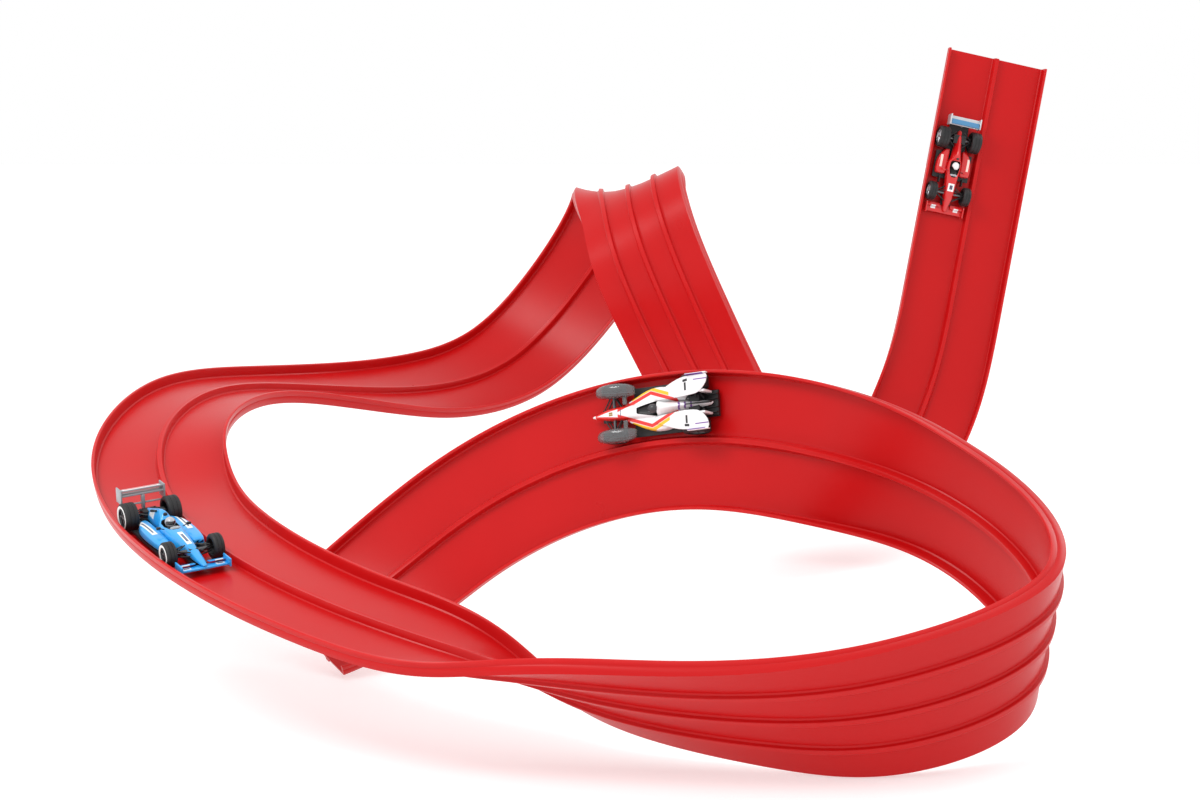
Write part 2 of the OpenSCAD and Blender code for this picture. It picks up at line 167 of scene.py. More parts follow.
def editAll(piece):
    clearSelection()
    piece.select_set(True)
    bpy.context.view_layer.objects.active = piece
    bpy.ops.object.mode_set(mode="EDIT")
    bpy.ops.mesh.select_all(action="SELECT")


def pickFaces(piece, wanted):
    # selects the faces whose middle and normal pass the test, in edit mode
    bpy.ops.mesh.select_mode(type="FACE")
    bpy.ops.mesh.select_all(action="DESELECT")
    mesh = bmesh.from_edit_mesh(piece.data)
    found = 0
    for face in mesh.faces:
        if wanted(face.calc_center_median() / mm, face.normal):
            face.select_set(True)
            found += 1
    mesh.select_flush_mode()
    bmesh.update_edit_mesh(piece.data)
    return found


def addModifier(piece, kind, **values):
    clearSelection()
    piece.select_set(True)
    bpy.context.view_layer.objects.active = piece
    modifier = piece.modifiers.new(kind.lower(), kind)
    for key, value in values.items():
        setattr(modifier, key, value)
    bpy.ops.object.modifier_apply(modifier=modifier.name)


def smoothPiece(piece, degrees=35):
    clearSelection()
    piece.select_set(True)
    bpy.context.view_layer.objects.active = piece
    bpy.ops.object.shade_smooth_by_angle(angle=math.radians(degrees))


def ringPoints(section, count):
    # a rounded cross section: x, half width, low, high, squareness, share of width kept at the top
    x, halfWidth, low, high, square, topShare = section[:6]
    shift = section[6] if len(section) > 6 else 0
    points = []
    for i in range(count):
        angle = 2 * math.pi * i / count
        c, s = math.cos(angle), math.sin(angle)
        y = halfWidth * math.copysign(abs(c) ** (2 / square), c)
        h = math.copysign(abs(s) ** (2 / square), s)
        y *= 1 + (topShare - 1) * (h + 1) / 2
        points.append(Vector((x, y + shift, (low + high) / 2 + (high - low) / 2 * h)) * mm)
    return points


def loft(name, sections, count=28, smooth=1):
    # extrudes a ring from section to section, as a modeller would
    clearSelection()
    bpy.ops.mesh.primitive_circle_add(vertices=count, radius=0.01, fill_type="NGON")
    piece = bpy.context.object
    piece.name = name
    piece.data.name = name
    bpy.ops.object.mode_set(mode="EDIT")
    bpy.ops.mesh.select_all(action="SELECT")
    ring = None
    for section in sections:
        if ring is not None:
            bpy.ops.mesh.extrude_region_move(TRANSFORM_OT_translate={"value": (0, 0, 0)})
        mesh = bmesh.from_edit_mesh(piece.data)
        chosen = [v for v in mesh.verts if v.select]
        target = ringPoints(section, count)
        if ring is None:
            for v, point in zip(chosen, target):
                v.co = point
        else:
            for v in chosen:
                nearest = min(range(count), key=lambda k: (ring[k] - v.co).length_squared)
                v.co = target[nearest]
        ring = target
        bmesh.update_edit_mesh(piece.data)
    bpy.ops.mesh.select_all(action="SELECT")
    bpy.ops.mesh.normals_make_consistent(inside=False)
    bpy.ops.object.mode_set(mode="OBJECT")
    if smooth:
        addModifier(piece, "SUBSURF", levels=smooth, render_levels=smooth)
    smoothPiece(piece)
    return piece


def bevelledBox(name, low, high, bevel=0.3, tilt=0):
    clearSelection()
    middle = (Vector(low) + Vector(high)) / 2 * mm
    size = (Vector(high) - Vector(low)) * mm
    bpy.ops.mesh.primitive_cube_add(size=1, location=middle)
    piece = bpy.context.object
    piece.name = name
    piece.data.name = name
    bpy.ops.object.mode_set(mode="EDIT")
    bpy.ops.mesh.select_all(action="SELECT")
    bpy.ops.transform.resize(value=size, center_override=middle)
    if tilt:
        bpy.ops.transform.rotate(value=math.radians(tilt), orient_axis="Y", center_override=middle)
    bpy.ops.object.mode_set(mode="OBJECT")
    bpy.ops.object.transform_apply(location=True, rotation=True, scale=True)
    addModifier(piece, "BEVEL", width=bevel * mm, segments=3)
    smoothPiece(piece)
    return piece


def turnedPiece(name, profile, centre, steps=56, sweep=360, startAngle=0, closed=True):
    # spins a profile of (y, radius) points about the y axis through centre
    clearSelection()
    bpy.ops.mesh.primitive_plane_add(size=0.01)
    piece = bpy.context.object
    piece.name = name
    piece.data.name = name
    bpy.ops.object.mode_set(mode="EDIT")
    mesh = bmesh.from_edit_mesh(piece.data)
    bmesh.ops.delete(mesh, geom=mesh.verts[:], context="VERTS")
    a = math.radians(startAngle)
    verts = [mesh.verts.new((Vector(centre) + Vector((math.cos(a) * r, y, math.sin(a) * r))) * mm)
             for y, r in profile]
    edges = [mesh.edges.new((verts[i], verts[i + 1])) for i in range(len(verts) - 1)]
    if closed:
        edges.append(mesh.edges.new((verts[-1], verts[0])))
    for edge in edges:
        edge.select_set(True)
    bmesh.update_edit_mesh(piece.data)
    bpy.ops.mesh.spin(steps=steps, angle=math.radians(sweep), center=Vector(centre) * mm, axis=(0, 1, 0))
    bpy.ops.mesh.select_all(action="SELECT")
    bpy.ops.mesh.remove_doubles(threshold=0.00001)
    if sweep < 360:
        bpy.ops.mesh.select_mode(type="EDGE")
        bpy.ops.mesh.select_all(action="DESELECT")
        bpy.ops.mesh.select_non_manifold()
        bpy.ops.mesh.edge_face_add()
        bpy.ops.mesh.select_all(action="SELECT")
    bpy.ops.mesh.normals_make_consistent(inside=False)
    bpy.ops.object.mode_set(mode="OBJECT")
    smoothPiece(piece, 40)
    return piece


def rod(name, start, end, radius):
    # a round bar with softened ends
    clearSelection()
    a, b = Vector(start) * mm, Vector(end) * mm
    length = (b - a).length
    bpy.ops.mesh.primitive_cylinder_add(vertices=12, radius=radius * mm, depth=length)
    piece = bpy.context.object
    piece.name = name
    piece.data.name = name
    piece.data.transform(Matrix.Translation((a + b) / 2) @ (b - a).to_track_quat("Z", "Y").to_matrix().to_4x4())
    addModifier(piece, "BEVEL", width=radius * 0.3 * mm, segments=2, limit_method="ANGLE")
    smoothPiece(piece)
    return piece


def joinPieces(name, pieces):
    clearSelection()
    for piece in pieces:
        piece.select_set(True)
    bpy.context.view_layer.objects.active = pieces[0]
    bpy.ops.object.join()
    pieces[0].name = name
    pieces[0].data.name = name
    return pieces[0]


def mirrored(piece, name):
    # a copy on the other side of the car's middle
    copy = piece.copy()
    copy.data = piece.data.copy()
    copy.name = name
    copy.data.name = name
    bpy.context.scene.collection.objects.link(copy)
    copy.data.transform(Matrix.Scale(-1, 4, (0, 1, 0)))
    copy.data.flip_normals()
    return copy


def finishPiece(piece, material, place=None, body=None, replaces=()):
    if place is not None:
        piece.data.transform(place)
    if material is not None:
        piece.data.materials.clear()
        piece.data.materials.append(material)
    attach(piece, body)
    if replaces:
        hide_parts(*replaces)
    return piece


# ---- materials ----
def addNode(tree, kind, props=None, **values):
    node = tree.nodes.new(kind)
    for key, value in (props or {}).items():
        setattr(node, key, value)
    for key, value in values.items():
        byNumber = key[0] == "i" and key[1:].isdigit()
        socket = node.inputs[int(key[1:]) if byNumber else key.replace("_", " ")]
        if isinstance(value, bpy.types.NodeSocket):
            tree.links.new(value, socket)
        else:
            socket.default_value = value
    return node


def mathNode(tree, operation, **values):
    return addNode(tree, "ShaderNodeMath", {"operation": operation}, **values)


def newGroup(name, inputs, outputs):
    group = bpy.data.node_groups.new(name, "ShaderNodeTree")
    for title, kind, value in inputs:
        socket = group.interface.new_socket(name=title, in_out="INPUT", socket_type="NodeSocket" + kind)
        if value is not None:
            socket.default_value = value
    for title, kind in outputs:
        group.interface.new_socket(name=title, in_out="OUTPUT", socket_type="NodeSocket" + kind)
    return group, group.nodes.new("NodeGroupInput"), group.nodes.new("NodeGroupOutput")


# a soft-edged band between two values
bandGroup, bandIn, bandOut = newGroup("bandMask", [("Value", "Float", 0.0), ("Low", "Float", 0.0),
                                                   ("High", "Float", 1.0),
                                                   ("Soft", "Float", 0.1)], [("Mask", "Float")])
lowEdge = mathNode(bandGroup, "ADD", i0=bandIn.outputs["Low"], i1=bandIn.outputs["Soft"])
highEdge = mathNode(bandGroup, "SUBTRACT", i0=bandIn.outputs["High"], i1=bandIn.outputs["Soft"])
rising = addNode(bandGroup, "ShaderNodeMapRange", None, Value=bandIn.outputs["Value"],
                 From_Min=bandIn.outputs["Low"],
                 From_Max=lowEdge.outputs[0])
falling = addNode(bandGroup, "ShaderNodeMapRange", None, Value=bandIn.outputs["Value"],
                  From_Min=bandIn.outputs["High"],
                  From_Max=highEdge.outputs[0])
both = mathNode(bandGroup, "MULTIPLY", i0=rising.outputs[0], i1=falling.outputs[0])
bandGroup.links.new(both.outputs[0], bandOut.inputs["Mask"])

# slow unevenness of colour and gloss, and the fine grain of a moulded surface
mouldGroup, mouldIn, mouldOut = newGroup("mouldedSurface",
                                         [("Vector", "Vector", None), ("Color", "Color", (1, 1, 1, 1)),
                                                            ("Roughness", "Float", 0.4),
                                                            ("Uneven", "Float", 0.1),
                                                            ("Grain Scale", "Float", 1500.0)],
                                         [("Color", "Color"), ("Roughness", "Float"), ("Height", "Float")])
cloud = addNode(mouldGroup, "ShaderNodeTexNoise", None, Vector=mouldIn.outputs["Vector"], Scale=22.0,
                Detail=4.0)
grain = addNode(mouldGroup, "ShaderNodeTexNoise", None, Vector=mouldIn.outputs["Vector"],
                Scale=mouldIn.outputs["Grain Scale"], Detail=3.0)
centred = mathNode(mouldGroup, "SUBTRACT", i0=cloud.outputs["Fac"], i1=0.5)
scaled = mathNode(mouldGroup, "MULTIPLY", i0=centred.outputs[0], i1=mouldIn.outputs["Uneven"])
bright = mathNode(mouldGroup, "ADD", i0=scaled.outputs[0], i1=1.0)
shade = addNode(mouldGroup, "ShaderNodeVectorMath", {"operation": "SCALE"}, i0=mouldIn.outputs["Color"],
                Scale=bright.outputs[0])
rough = mathNode(mouldGroup, "ADD", i0=scaled.outputs[0], i1=mouldIn.outputs["Roughness"])
mouldGroup.links.new(shade.outputs[0], mouldOut.inputs["Color"])
mouldGroup.links.new(rough.outputs[0], mouldOut.inputs["Roughness"])
mouldGroup.links.new(grain.outputs["Fac"], mouldOut.inputs["Height"])


def carPlace(tree, matrix):
    # object coordinates turned into the car's own millimetres: x ahead, y left, z up
    spot, turn, _ = matrix.decompose()
    coords = addNode(tree, "ShaderNodeTexCoord")
    mapping = addNode(tree, "ShaderNodeMapping", {"vector_type": "TEXTURE"}, Vector=coords.outputs["Object"],
                      Location=spot, Rotation=turn.to_euler())
    scale = addNode(tree, "ShaderNodeVectorMath", {"operation": "SCALE"}, i0=mapping.outputs[0], Scale=1000.0)
    return coords, addNode(tree, "ShaderNodeSeparateXYZ", None, Vector=scale.outputs[0])


def bandNode(tree, value, low, high, soft=0.15):
    node = tree.nodes.new("ShaderNodeGroup")
    node.node_tree = bandGroup
    tree.links.new(value, node.inputs["Value"])
    for key, number in (("Low", low), ("High", high), ("Soft", soft)):
        node.inputs[key].default_value = number
    return node.outputs["Mask"]


def makeMaterial(name, color, roughness=0.4, coat=0.0, metallic=0.0, uneven=0.1, grain=1500.0, bump=0.05,
                 place=None,
                 decals=(), alpha=1.0):
    material = bpy.data.materials.new(name)
    material.use_nodes = True
    tree = material.node_tree
    shader = tree.nodes["Principled BSDF"]
    base = None
    if place is not None:
        coords, parts = carPlace(tree, place)
        wide = mathNode(tree, "ABSOLUTE", i0=parts.outputs["Y"]).outputs[0]
        for decal in decals:
            along, across, high = decal["x"], decal["y"], decal.get("z", (-5, 60))
            skewed = mathNode(tree, "MULTIPLY_ADD", i0=wide, i1=decal.get("skew", 0.0),
                             i2=parts.outputs["X"]).outputs[0]
            bent = mathNode(tree, "MULTIPLY_ADD", i0=parts.outputs["X"],
                           i1=decal.get("slope", 0.0), i2=wide).outputs[0]
            if decal.get("fold"):
                # the band turns back at this place along the car
                foldAt, lean = decal["fold"]
                fromFold = mathNode(tree, "SUBTRACT", i0=parts.outputs["X"], i1=foldAt)
                away = mathNode(tree, "ABSOLUTE", i0=fromFold.outputs[0])
                bent = mathNode(tree, "MULTIPLY_ADD", i0=away.outputs[0], i1=lean,
                               i2=bent).outputs[0]
            mask = bandNode(tree, skewed, *along)
            for value, limits in ((bent, across), (parts.outputs["Z"], high)):
                mask = mathNode(tree, "MULTIPLY", i0=mask,
                               i1=bandNode(tree, value, *limits)).outputs[0]
            mix = addNode(tree, "ShaderNodeMix", {"data_type": "RGBA"}, i0=mask)
            mix.inputs[6].default_value = (*color, 1)
            if base is not None:
                tree.links.new(base, mix.inputs[6])
            mix.inputs[7].default_value = (*decal["color"], 1)
            base = mix.outputs[2]
    else:
        coords = addNode(tree, "ShaderNodeTexCoord")
    surface = tree.nodes.new("ShaderNodeGroup")
    surface.node_tree = mouldGroup
    tree.links.new(coords.outputs["Object"], surface.inputs["Vector"])
    surface.inputs["Color"].default_value = (*color, 1)
    if base is not None:
        tree.links.new(base, surface.inputs["Color"])
    surface.inputs["Roughness"].default_value = roughness
    surface.inputs["Uneven"].default_value = uneven
    surface.inputs["Grain Scale"].default_value = grain
    tree.links.new(surface.outputs["Color"], shader.inputs["Base Color"])
    tree.links.new(surface.outputs["Roughness"], shader.inputs["Roughness"])
    relief = addNode(tree, "ShaderNodeBump", None, Strength=bump, Distance=0.0002,
                     Height=surface.outputs["Height"])
    tree.links.new(relief.outputs[0], shader.inputs["Normal"])
    shader.inputs["Metallic"].default_value = metallic
    shader.inputs["Coat Weight"].default_value = coat
    shader.inputs["Coat Roughness"].default_value = 0.06
    shader.inputs["Alpha"].default_value = alpha
    return material


def trackMaterial():
    # glossy flexible PVC: fine lines of extrusion along the strip, rims painted paler as a painted highlight
    # broken up by noise, slow colour drift
    look = {"color": (0.5, 0.0035, 0.0045), "rimHighlight": (0.6, 0.02, 0.02), "roughness": 0.3, "specular": 0.22}
    material = bpy.data.materials.new("trackRed")
    material.use_nodes = True
    tree = material.node_tree
    shader = tree.nodes["Principled BSDF"]
    coords = addNode(tree, "ShaderNodeTexCoord")
    stretch = addNode(tree, "ShaderNodeMapping", None, Vector=coords.outputs["UV"], Scale=(900.0, 4.0, 1.0))
    lines = addNode(tree, "ShaderNodeTexNoise", None, Vector=stretch.outputs[0], Scale=1.0, Detail=2.0)
    surface = tree.nodes.new("ShaderNodeGroup")
    surface.node_tree = mouldGroup
    tree.links.new(coords.outputs["Object"], surface.inputs["Vector"])
    surface.inputs["Roughness"].default_value = look["roughness"]
    surface.inputs["Uneven"].default_value = 0.12
    surface.inputs["Grain Scale"].default_value = 900.0
    # the rim attribute marks the edges painted paler than the lane: a painted highlight, broken up by a noise
    rim = addNode(tree, "ShaderNodeAttribute", {"attribute_name": "rim"})
    highlightBreakup = addNode(tree, "ShaderNodeTexNoise", None, Vector=coords.outputs["Object"], Scale=60.0, Detail=3.0)
    amount = mathNode(tree, "MULTIPLY", i0=rim.outputs["Fac"], i1=highlightBreakup.outputs["Fac"])
    tint = addNode(tree, "ShaderNodeMix", {"data_type": "RGBA"}, i0=amount.outputs[0])
    tint.inputs[6].default_value = (*look["color"], 1)
    tint.inputs[7].default_value = (*look["rimHighlight"], 1)
    tree.links.new(tint.outputs[2], surface.inputs["Color"])
    tree.links.new(surface.outputs["Color"], shader.inputs["Base Color"])
    tree.links.new(surface.outputs["Roughness"], shader.inputs["Roughness"])
    relief = addNode(tree, "ShaderNodeBump", None, Strength=0.12, Distance=0.0002, Height=lines.outputs["Fac"])
    tree.links.new(relief.outputs[0], shader.inputs["Normal"])
    shader.inputs["Specular IOR Level"].default_value = look["specular"]
    return material


# ---- the ribbon ----
def ribbonProfile():
    # across and height of the section, going round; the third value marks the rims that get a painted
    # highlight, painted paler
    h, w, wb = track["railHeight"], track["web"], track["laneRibHeight"]
    kd, kw, rib = track["keelDepth"], track["keelWidth"] / 2, track["laneRibWidth"] / 2
    right = [(-half, h - 0.5, 1), (-half + 0.4, h, 1), (-inner - 0.5, h, 1), (-inner - 0.05, h - 0.5, 1),
             (-inner + 0.25, h * 0.5, 0), (-inner + 0.5, 0.7, 0), (-inner + 1.2, 0.02, 0)]
    right += [(u, 0.0, 0) for u in (-36, -30, laneMiddle, -12, -6)]
    right += [(-rib - 1.0, 0.03, 0), (-rib - 0.4, 0.6, 0), (-rib + 0.3, wb - 0.6, 0.6), (-rib + 0.7, wb, 0.8),
              (-rib + 1.5, wb - 0.1, 0.2)]
    top = right + [(-u, z, p) for u, z, p in reversed(right)]
    under = [(half - 0.1, h * 0.62, 0.1), (half - 0.55, h * 0.5, 0), (half - 0.3, h * 0.36, 0.2),
             (half - 0.7, 0.2, 0), (half - 1.3, -w, 0)]
    for middle in (half / 2, 0, -half / 2):
        if middle > 0:
            under += [(middle + 12, -w + 0.02, 0)]
        keel = [(kw + 0.6, -w, 0), (kw - 0.3, -w - 0.7, 0), (kw - 0.6, -w - kd + 0.3, 0),
                (kw - 1.0, -w - kd, 0.3)]
        under += [(middle + u, z, p) for u, z, p in keel] + [(middle, -w - kd, 0.3)]
        under += [(middle - u, z, p) for u, z, p in reversed(keel)]
        if middle >= 0:
            under += [(middle - 10.5, -w + 0.15, 0)]
    under += [(-half / 2 - 12, -w + 0.02, 0), (-half + 1.3, -w, 0), (-half + 0.7, 0.2, 0),
              (-half + 0.3, h * 0.36, 0.2),
              (-half + 0.55, h * 0.5, 0), (-half + 0.1, h * 0.62, 0.1)]
    return top + under


def makeTrack():
    profile = ribbonProfile()
    count = len(profile)
    rows = int(round((track["finish"] - track["start"]) * track["rowsPerStation"]))
    verts, faces, rim = [], [], []
    for i in range(rows + 1):
        centre, ahead, left, above = stationAt(track["start"] + (track["finish"] - track["start"]) * i / rows)
        for u, h, rimHighlight in profile:
            verts.append((home + centre + left * u + above * h) * mm)
            rim.append(rimHighlight)
    for i in range(rows):
        for j in range(count):
            k = (j + 1) % count
            faces.append((i * count + j, (i + 1) * count + j, (i + 1) * count + k, i * count + k))
    faces.append(tuple(range(count)))
    faces.append(tuple(rows * count + j for j in reversed(range(count))))
    mesh = bpy.data.meshes.new("trackRibbon")
    mesh.from_pydata(verts, [], faces)
    piece = bpy.data.objects.new("trackRibbon", mesh)
    bpy.context.scene.collection.objects.link(piece)
    # rim holds, point by point, how much painted highlight the edge gets
    attribute = mesh.attributes.new("rim", "FLOAT", "POINT")
    attribute.data.foreach_set("value", rim)
    uv = mesh.uv_layers.new(name="strip")
    for polygon in mesh.polygons:
        for loopIndex in polygon.loop_indices:
            index = mesh.loops[loopIndex].vertex_index
            uv.data[loopIndex].uv = (profile[index % count][0] / track["width"] + 0.5,
                                     index // count / rows * 27)
    editAll(piece)
    bpy.ops.mesh.normals_make_consistent(inside=False)
    bpy.ops.object.mode_set(mode="OBJECT")
    smoothPiece(piece, 32)
    return piece


trackNodes = [name for name, node in frame["nodes"].items() if node["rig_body"] == "track"]
finishPiece(makeTrack(), trackMaterial(), body="track", replaces=trackNodes)
print("ribbon made")


# ---- where the cars stand ----
def laneFrame(turn, degrees, wheelbase):
    laneRadius = turn.radius + laneMiddle * turn.left.dot(turn.out)
    sink = laneRadius - math.sqrt(laneRadius ** 2 - wheelbase ** 2 / 4)
    ahead, left = turned(turn.ahead, turn.axis, degrees), turned(turn.left, turn.axis, degrees)
    spot = turn.hub + turned(turn.out, turn.axis, degrees) * (turn.radius - sink) + left * laneMiddle + home
    return placeMatrix(spot, ahead, left)


def placeMatrix(spot, ahead, left):
    matrix = Matrix((ahead, left, ahead.cross(left))).transposed().to_4x4()
    matrix.translation = spot * mm
    return matrix


# degrees along the arc and wheelbase of the two cars in the bends, and the red car's place on the drop
stand = {"blueDegrees": -11, "blueWheelbase": 66, "whiteDegrees": -14.7, "whiteWheelbase": 56,
         "redStation": 1.65}
dropCentre, dropAhead, dropLeft, _ = stationAt(stand["redStation"])
bluePlace = laneFrame(blueTurn, stand["blueDegrees"], stand["blueWheelbase"])
whitePlace = laneFrame(whiteTurn, stand["whiteDegrees"], stand["whiteWheelbase"])
redPlace = placeMatrix(dropCentre + dropLeft * laneMiddle + home, dropAhead, dropLeft)

tyreRubber = makeMaterial("tyreRubber", (0.009, 0.009, 0.01), 0.55, uneven=0.15, grain=2500.0, bump=0.35)
tyreRing = makeMaterial("tyreRing", (0.75, 0.75, 0.74), 0.45, uneven=0.1)
rimDark = makeMaterial("rimDark", (0.03, 0.03, 0.035), 0.3, coat=0.3)
rimSilver = makeMaterial("rimSilver", (0.55, 0.56, 0.58), 0.3, metallic=0.9)
blackPlastic = makeMaterial("blackPlastic", (0.013, 0.013, 0.014), 0.42, uneven=0.15, bump=0.2)
axleSteel = makeMaterial("axleSteel", (0.16, 0.16, 0.17), 0.32, metallic=1.0, bump=0.1)
visorDark = makeMaterial("visorDark", (0.01, 0.01, 0.014), 0.08, coat=0.6)
glassClear = makeMaterial("screenClear", (0.75, 0.8, 0.85), 0.08, alpha=0.45, coat=0.5)


# ---- pieces that every car has ----
def makeWheelset(car, end, x, diameter, width, look, place):
    # both tyres, their printed side rings and spoked rims
    radius, gap, wide = diameter / 2, 0.5, 35
    z = radius + gap
    tyres, rings, rims = [], [], []
    for side in (-1, 1):
        middle = side * (wide - width) / 2
        hub = (x, middle, z)
        w = width / 2
        # one side from the rim out to the tread with a shallow groove, then the same in a mirror
        wall = [(-w + 0.9, radius - 2.9), (-w + 0.25, radius - 2.5), (-w, radius - 1.6),
                (-w + 0.15, radius - 0.8), (-w + 0.75, radius - 0.15), (-w + 1.3, radius),
                (-w * 0.4, radius), (-w * 0.36, radius - 0.22), (-w * 0.28, radius - 0.22), (-w * 0.24, radius)]
        profile = wall + [(-y, r) for y, r in reversed(wall)]
        tyres.append(turnedPiece("tyre", profile, hub))
        outer = side * w
        if look["ring"]:
            band = [(outer + side * 0.03, radius - 1.35), (outer + side * 0.12, radius - 1.6),
                    (outer + side * 0.1, radius - 2.5), (outer - side * 0.3, radius - 2.9),
                    (outer - side * 0.6, radius - 2.5), (outer - side * 0.3, radius - 1.35)]
            rings.append(turnedPiece("ring", band, hub))
        disc = [(outer - side * 0.7, radius - 2.85), (outer - side * 0.55, radius - 3.3),
                (outer - side * 1.9, radius - 3.6), (outer - side * 2.3, 2.0), (outer - side * 1.1, 1.5),
                (outer - side * 0.8, 0.9), (outer - side * 0.75, 0.05), (outer - side * 3.5, 0.05),
                (outer - side * 3.5, radius - 2.85)]
        rims.append(turnedPiece("rim", disc, hub))
        for k in range(look["spokes"]):
            angle = 2 * math.pi * k / look["spokes"]
            reach = radius - 3.2
            start = (x + math.cos(angle) * 1.0, middle + outer - side * 1.1, z + math.sin(angle) * 1.0)
            tip = (x + math.cos(angle) * reach, middle + outer - side * 1.0, z + math.sin(angle) * reach)
            rims.append(rod("spoke", start, tip, 0.42))
    body = car + "_" + end + "_wheelset"
    finishPiece(joinPieces(car + end.title() + "Tyres", tyres), tyreRubber, place, body,
                [car + "_" + end + "_wheels"])
    if rings:
        finishPiece(joinPieces(car + end.title() + "TyreRings", rings), tyreRing, place, body)
    finishPiece(joinPieces(car + end.title() + "Rims", rims), look["rim"], place, body)
    frame["nodes"][car + "_" + end + "_axle"].data.materials.clear()
    frame["nodes"][car + "_" + end + "_axle"].data.materials.append(axleSteel)


def makeSuspension(car, x, z, body, place, reach=11.3):
    # wishbones and a push rod at each wheel
    rods = []
    for side in (-1, 1):
        for dx, dz in ((6.0, 1.6), (-6.0, 1.6), (5.0, -1.9), (-5.0, -1.9)):
            rods.append(rod("arm", (x + dx, side * 3.2, z + dz * 0.8), (x + dx * 0.12, side * reach, z + dz),
                            0.42))
        rods.append(rod("pushRod", (x - 2.2, side * 3.4, z + 3.0), (x - 0.4, side * reach, z - 0.8), 0.38))
    finishPiece(joinPieces(car + ("Front" if x > 0 else "Rear") + "Suspension", rods), blackPlastic, place,
                body)


def helmetBall(name, size):
    clearSelection()
    bpy.ops.mesh.primitive_uv_sphere_add(segments=32, ring_count=20, radius=size / 2 * mm)
    ball = bpy.context.object
    ball.name = name
    bpy.ops.object.mode_set(mode="EDIT")
    bpy.ops.mesh.select_all(action="SELECT")
    bpy.ops.transform.resize(value=(1.12, 0.96, 1.0), center_override=(0, 0, 0))
    bpy.ops.object.mode_set(mode="OBJECT")
    return ball


def makeHelmet(car, spec, place, shell, body):
    # a stretched ball, a visor band and its rim, and a neck below
    x, z, d = spec["x"], spec["z"], spec["size"]
    centre = Matrix.Translation(Vector((x, 0, z)) * mm)
    helmet = helmetBall(car + "Helmet", d)
    helmet.data.transform(centre)
    smoothPiece(helmet, 60)
    visor = helmetBall(car + "Visor", d * 1.035)
    bpy.ops.object.mode_set(mode="EDIT")
    pickFaces(visor, lambda c, n: c.x < d * 0.16 or not -d * 0.1 < c.z < d * 0.24)
    bpy.ops.mesh.delete(type="FACE")
    bpy.ops.object.mode_set(mode="OBJECT")
    visor.data.transform(centre)
    addModifier(visor, "SOLIDIFY", thickness=0.25 * mm, offset=-1)
    smoothPiece(visor, 50)
    neck = loft(car + "Neck", [(x - 2.2, 2.6, spec["seat"] - 0.5, z - d * 0.25, 3, 0.8),
                               (x, 3.2, spec["seat"] - 0.5, z - d * 0.2, 3, 0.7),
                               (x + 2.4, 2.8, spec["seat"] - 0.5, z - d * 0.45, 3, 0.8)])
    finishPiece(helmet, shell, place, body, replaces=[car + "_driver"])
    finishPiece(visor, visorDark, place, body)
    finishPiece(neck, blackPlastic, place, body)


def cutCockpit(piece, sections):
    # cuts the driver's well out of the tub and leaves its walls dark
    cutter = loft("cutter", sections, 24, 0)
    for material in piece.data.materials:
        cutter.data.materials.append(material)
    for polygon in cutter.data.polygons:
        polygon.material_index = 1
    addModifier(piece, "BOOLEAN", object=cutter, operation="DIFFERENCE")
    bpy.data.objects.remove(cutter)


def finishShell(piece, paint, dark, place, body, replaces):
    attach(piece, body)
    piece.data.transform(place)
    piece.data.materials[0], piece.data.materials[1] = paint, dark
    smoothPiece(piece)
    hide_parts(*replaces)


def makePods(car, sections, y, place, paint, body):
    # side boxes with a dark intake at the front
    pod = loft(car + "LeftPod", [(x, hw, low, high, 4, share, y + shift)
                                 for x, hw, low, high, share, shift in sections], 24)
    editAll(pod)
    frontX = max(s[0] for s in sections)
    if pickFaces(pod, lambda c, n: n.x > 0.8 and c.x > frontX - 1.2):
        bpy.ops.mesh.inset(thickness=0.5 * mm)
        bpy.ops.mesh.extrude_region_move(TRANSFORM_OT_translate={"value": (-1.6 * mm, 0, 0)})
        pod.data.materials.append(None)
        pod.data.materials.append(None)
        pod.active_material_index = 1
        bpy.ops.object.material_slot_assign()
    bpy.ops.object.mode_set(mode="OBJECT")
    other = mirrored(pod, car + "RightPod")
    for piece in (pod, other):
        piece.data.transform(place)
        for i, material in enumerate((paint, blackPlastic)):
            if len(piece.data.materials) > i:
                piece.data.materials[i] = material
            else:
                piece.data.materials.append(material)
        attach(piece, body)


blue = (0.022, 0.34, 0.78)
navy = (0.02, 0.03, 0.09)
paper = (0.85, 0.87, 0.88)
bluePaint = makeMaterial("bluePaint", blue, 0.3, coat=0.5, uneven=0.06, place=bluePlace, decals=[
    {"color": paper, "x": (-20, 4), "y": (9.2, 12.6), "slope": 0.03},
    {"color": navy, "x": (-17, 1), "y": (10.3, 11.5), "slope": 0.03},
    {"color": paper, "x": (14, 30), "y": (0.0, 1.6)},
    {"color": navy, "x": (17, 27), "y": (0.0, 0.8)},
    {"color": paper, "x": (-28, -19), "y": (1.2, 3.2), "z": (10, 20)},
    {"color": paper, "x": (47.5, 51.5), "y": (7.5, 12.5), "z": (2, 9)},
    {"color": navy, "x": (48.6, 50.4), "y": (8.2, 11.8), "z": (2, 9)}])
redPaint = makeMaterial("redPaint", (0.62, 0.006, 0.008), 0.28, coat=0.6, uneven=0.06, place=redPlace, decals=[
    {"color": paper, "x": (14, 20.5), "y": (0, 2.6), "z": (8, 20)},
    {"color": navy, "x": (15.5, 19), "y": (0, 1.3), "z": (8, 20)},
    {"color": (0.9, 0.7, 0.62), "x": (-8, 2), "y": (10.2, 12.2), "z": (8, 20)},
    {"color": paper, "x": (32.5, 35.5), "y": (7.5, 11.5), "z": (2, 7)}])
purple = (0.16, 0.03, 0.32)
